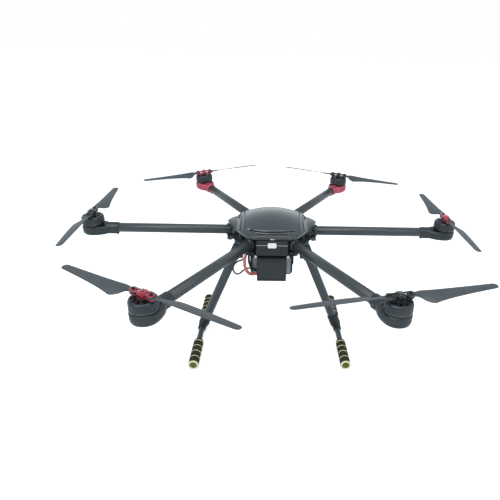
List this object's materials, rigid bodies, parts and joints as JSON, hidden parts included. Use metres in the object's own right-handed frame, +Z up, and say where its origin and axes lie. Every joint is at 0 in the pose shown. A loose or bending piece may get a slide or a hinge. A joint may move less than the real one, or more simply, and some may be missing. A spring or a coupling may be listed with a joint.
{
  "type": "hexacopter drone",
  "caption": "Folding hexacopter: hexagonal hub with domed canopy, fold-down tube arms, outrunner motors, folding two-blade propellers, retractable skid legs and a slung battery.",
  "frame": {"origin": "on the ground under the middle of the hub, centre of the bounding box's lower face", "axes": "+Z up, +X to the craft's right, +Y to its rear"},
  "size_m": [1.018, 1.0625, 0.386],
  "materials": {
    "carbon_tube": "woven carbon fibre, satin clear coat",
    "carbon_plate": "woven carbon fibre plate, satin",
    "canopy_gloss": "glossy black moulded plastic",
    "anodised_black": "black anodised aluminium",
    "black_mount": "black anodised, fine grain",
    "red_mount": "red anodised, fine grain",
    "black_clamp": "black anodised",
    "red_clamp": "red anodised",
    "motor_can": "black anodised, turned",
    "blade": "carbon filled nylon, matte",
    "foam": "closed cell foam with yellow bands",
    "device_case": "moulded plastic, fine texture",
    "heat_shrink": "heat shrink sleeve",
    "circuit_board": "green solder mask",
    "bay_case": "moulded plastic, fine texture",
    "white_lens": "white diffuser",
    "battery_wrap": "grey end, black heat shrink wrap",
    "webbing": "woven hook and loop strap",
    "box_case": "moulded plastic, fine texture",
    "red_silicone": "silicone wire sleeve",
    "black_silicone": "silicone wire sleeve"
  },
  "bodies": {
    "hub": {"bottom_plate": "carbon_plate", "top_plate": "carbon_plate", "canopy": "canopy_gloss", "frame_posts": "anodised_black", "arm_hinge_brackets": "anodised_black", "flight_controller": "device_case", "satellite_receiver": "device_case", "power_board": "circuit_board", "speed_controllers": "heat_shrink", "front_bay": "bay_case", "status_lens": "white_lens", "payload_rails": "carbon_tube", "battery_tray": "carbon_plate", "battery": "battery_wrap", "battery_straps": "webbing", "equipment_box": "box_case", "retract_units": "anodised_black", "red_power_lead": "red_silicone", "black_power_lead": "black_silicone", "signal_cable": "black_silicone"},
    "arm_right": {"arm_right": "carbon_tube", "motor_mount_right": "black_mount"},
    "rotor_right": {"rotor_bell_right": "motor_can", "prop_clamp_right": "red_clamp"},
    "blade_a_right": {"blade_a_right": "blade"},
    "blade_b_right": {"blade_b_right": "blade"},
    "arm_rear_right": {"arm_rear_right": "carbon_tube", "motor_mount_rear_right": "red_mount"},
    "rotor_rear_right": {"rotor_bell_rear_right": "motor_can", "prop_clamp_rear_right": "black_clamp"},
    "blade_a_rear_right": {"blade_a_rear_right": "blade"},
    "blade_b_rear_right": {"blade_b_rear_right": "blade"},
    "arm_rear_left": {"arm_rear_left": "carbon_tube", "motor_mount_rear_left": "red_mount"},
    "rotor_rear_left": {"rotor_bell_rear_left": "motor_can", "prop_clamp_rear_left": "red_clamp"},
    "blade_a_rear_left": {"blade_a_rear_left": "blade"},
    "blade_b_rear_left": {"blade_b_rear_left": "blade"},
    "arm_left": {"arm_left": "carbon_tube", "motor_mount_left": "black_mount"},
    "rotor_left": {"rotor_bell_left": "motor_can", "prop_clamp_left": "black_clamp"},
    "blade_a_left": {"blade_a_left": "blade"},
    "blade_b_left": {"blade_b_left": "blade"},
    "arm_front_left": {"arm_front_left": "carbon_tube", "motor_mount_front_left": "black_mount"},
    "rotor_front_left": {"rotor_bell_front_left": "motor_can", "prop_clamp_front_left": "red_clamp"},
    "blade_a_front_left": {"blade_a_front_left": "blade"},
    "blade_b_front_left": {"blade_b_front_left": "blade"},
    "arm_front_right": {"arm_front_right": "carbon_tube", "motor_mount_front_right": "black_mount"},
    "rotor_front_right": {"rotor_bell_front_right": "motor_can", "prop_clamp_front_right": "black_clamp"},
    "blade_a_front_right": {"blade_a_front_right": "blade"},
    "blade_b_front_right": {"blade_b_front_right": "blade"},
    "leg_right": {"leg_right": "carbon_tube", "foam_grips_right": "foam"},
    "leg_left": {"leg_left": "carbon_tube", "foam_grips_left": "foam"}
  },
  "joints": [
    {"name": "arm_fold_right", "type": "hinge", "parent": "hub", "child": "arm_right", "pos_m": [0.114, 0, 0.312], "axis": [0, 1, 0], "range_deg": [0, 65]},
    {"name": "rotor_spin_right", "type": "hinge", "parent": "arm_right", "child": "rotor_right", "pos_m": [0.48, 0, 0.354], "axis": [0, 0, 1], "continuous": true},
    {"name": "blade_fold_a_right", "type": "hinge", "parent": "rotor_right", "child": "blade_a_right", "pos_m": [0.47996, 0.022, 0.3766], "axis": [0, 0, 1], "range_deg": [-90, 90]},
    {"name": "blade_fold_b_right", "type": "hinge", "parent": "rotor_right", "child": "blade_b_right", "pos_m": [0.48004, -0.022, 0.3766], "axis": [0, 0, 1], "range_deg": [-90, 90]},
    {"name": "arm_fold_rear_right", "type": "hinge", "parent": "hub", "child": "arm_rear_right", "pos_m": [0.057, 0.09873, 0.312], "axis": [-0.866, 0.5, 0], "range_deg": [0, 90]},
    {"name": "rotor_spin_rear_right", "type": "hinge", "parent": "arm_rear_right", "child": "rotor_rear_right", "pos_m": [0.24, 0.41569, 0.354], "axis": [0, 0, 1], "continuous": true},
    {"name": "blade_fold_a_rear_right", "type": "hinge", "parent": "rotor_rear_right", "child": "blade_a_rear_right", "pos_m": [0.22038, 0.42565, 0.3766], "axis": [0, 0, 1], "range_deg": [-90, 90]},
    {"name": "blade_fold_b_rear_right", "type": "hinge", "parent": "rotor_rear_right", "child": "blade_b_rear_right", "pos_m": [0.25962, 0.40574, 0.3766], "axis": [0, 0, 1], "range_deg": [-90, 90]},
    {"name": "arm_fold_rear_left", "type": "hinge", "parent": "hub", "child": "arm_rear_left", "pos_m": [-0.057, 0.09873, 0.312], "axis": [-0.866, -0.5, 0], "range_deg": [0, 90]},
    {"name": "rotor_spin_rear_left", "type": "hinge", "parent": "arm_rear_left", "child": "rotor_rear_left", "pos_m": [-0.24, 0.41569, 0.354], "axis": [0, 0, 1], "continuous": true},
    {"name": "blade_fold_a_rear_left", "type": "hinge", "parent": "rotor_rear_left", "child": "blade_a_rear_left", "pos_m": [-0.2586, 0.40394, 0.3766], "axis": [0, 0, 1], "range_deg": [-90, 90]},
    {"name": "blade_fold_b_rear_left", "type": "hinge", "parent": "rotor_rear_left", "child": "blade_b_rear_left", "pos_m": [-0.2214, 0.42745, 0.3766], "axis": [0, 0, 1], "range_deg": [-90, 90]},
    {"name": "arm_fold_left", "type": "hinge", "parent": "hub", "child": "arm_left", "pos_m": [-0.114, 0, 0.312], "axis": [0, -1, 0], "range_deg": [0, 65]},
    {"name": "rotor_spin_left", "type": "hinge", "parent": "arm_left", "child": "rotor_left", "pos_m": [-0.48, 0, 0.354], "axis": [0, 0, 1], "continuous": true},
    {"name": "blade_fold_a_left", "type": "hinge", "parent": "rotor_left", "child": "blade_a_left", "pos_m": [-0.48042, 0.022, 0.3766], "axis": [0, 0, 1], "range_deg": [-90, 90]},
    {"name": "blade_fold_b_left", "type": "hinge", "parent": "rotor_left", "child": "blade_b_left", "pos_m": [-0.47958, -0.022, 0.3766], "axis": [0, 0, 1], "range_deg": [-90, 90]},
    {"name": "arm_fold_front_left", "type": "hinge", "parent": "hub", "child": "arm_front_left", "pos_m": [-0.057, -0.09873, 0.312], "axis": [0.866, -0.5, 0], "range_deg": [0, 90]},
    {"name": "rotor_spin_front_left", "type": "hinge", "parent": "arm_front_left", "child": "rotor_front_left", "pos_m": [-0.24, -0.41569, 0.354], "axis": [0, 0, 1], "continuous": true},
    {"name": "blade_fold_a_front_left", "type": "hinge", "parent": "rotor_front_left", "child": "blade_a_front_left", "pos_m": [-0.25903, -0.40466, 0.3766], "axis": [0, 0, 1], "range_deg": [-90, 90]},
    {"name": "blade_fold_b_front_left", "type": "hinge", "parent": "rotor_front_left", "child": "blade_b_front_left", "pos_m": [-0.22097, -0.42673, 0.3766], "axis": [0, 0, 1], "range_deg": [-90, 90]},
    {"name": "arm_fold_front_right", "type": "hinge", "parent": "hub", "child": "arm_front_right", "pos_m": [0.057, -0.09873, 0.312], "axis": [0.866, 0.5, 0], "range_deg": [0, 90]},
    {"name": "rotor_spin_front_right", "type": "hinge", "parent": "arm_front_right", "child": "rotor_front_right", "pos_m": [0.24, -0.41569, 0.354], "axis": [0, 0, 1], "continuous": true},
    {"name": "blade_fold_a_front_right", "type": "hinge", "parent": "rotor_front_right", "child": "blade_a_front_right", "pos_m": [0.21851, -0.42042, 0.3766], "axis": [0, 0, 1], "range_deg": [-90, 90]},
    {"name": "blade_fold_b_front_right", "type": "hinge", "parent": "rotor_front_right", "child": "blade_b_front_right", "pos_m": [0.26149, -0.41097, 0.3766], "axis": [0, 0, 1], "range_deg": [-90, 90]},
    {"name": "leg_retract_right", "type": "hinge", "parent": "hub", "child": "leg_right", "pos_m": [0.08955, 0, 0.29], "axis": [0, 1, 0], "range_deg": [-57, 0]},
    {"name": "leg_retract_left", "type": "hinge", "parent": "hub", "child": "leg_left", "pos_m": [-0.08955, 0, 0.29], "axis": [0, -1, 0], "range_deg": [-57, 0]}
  ]
}
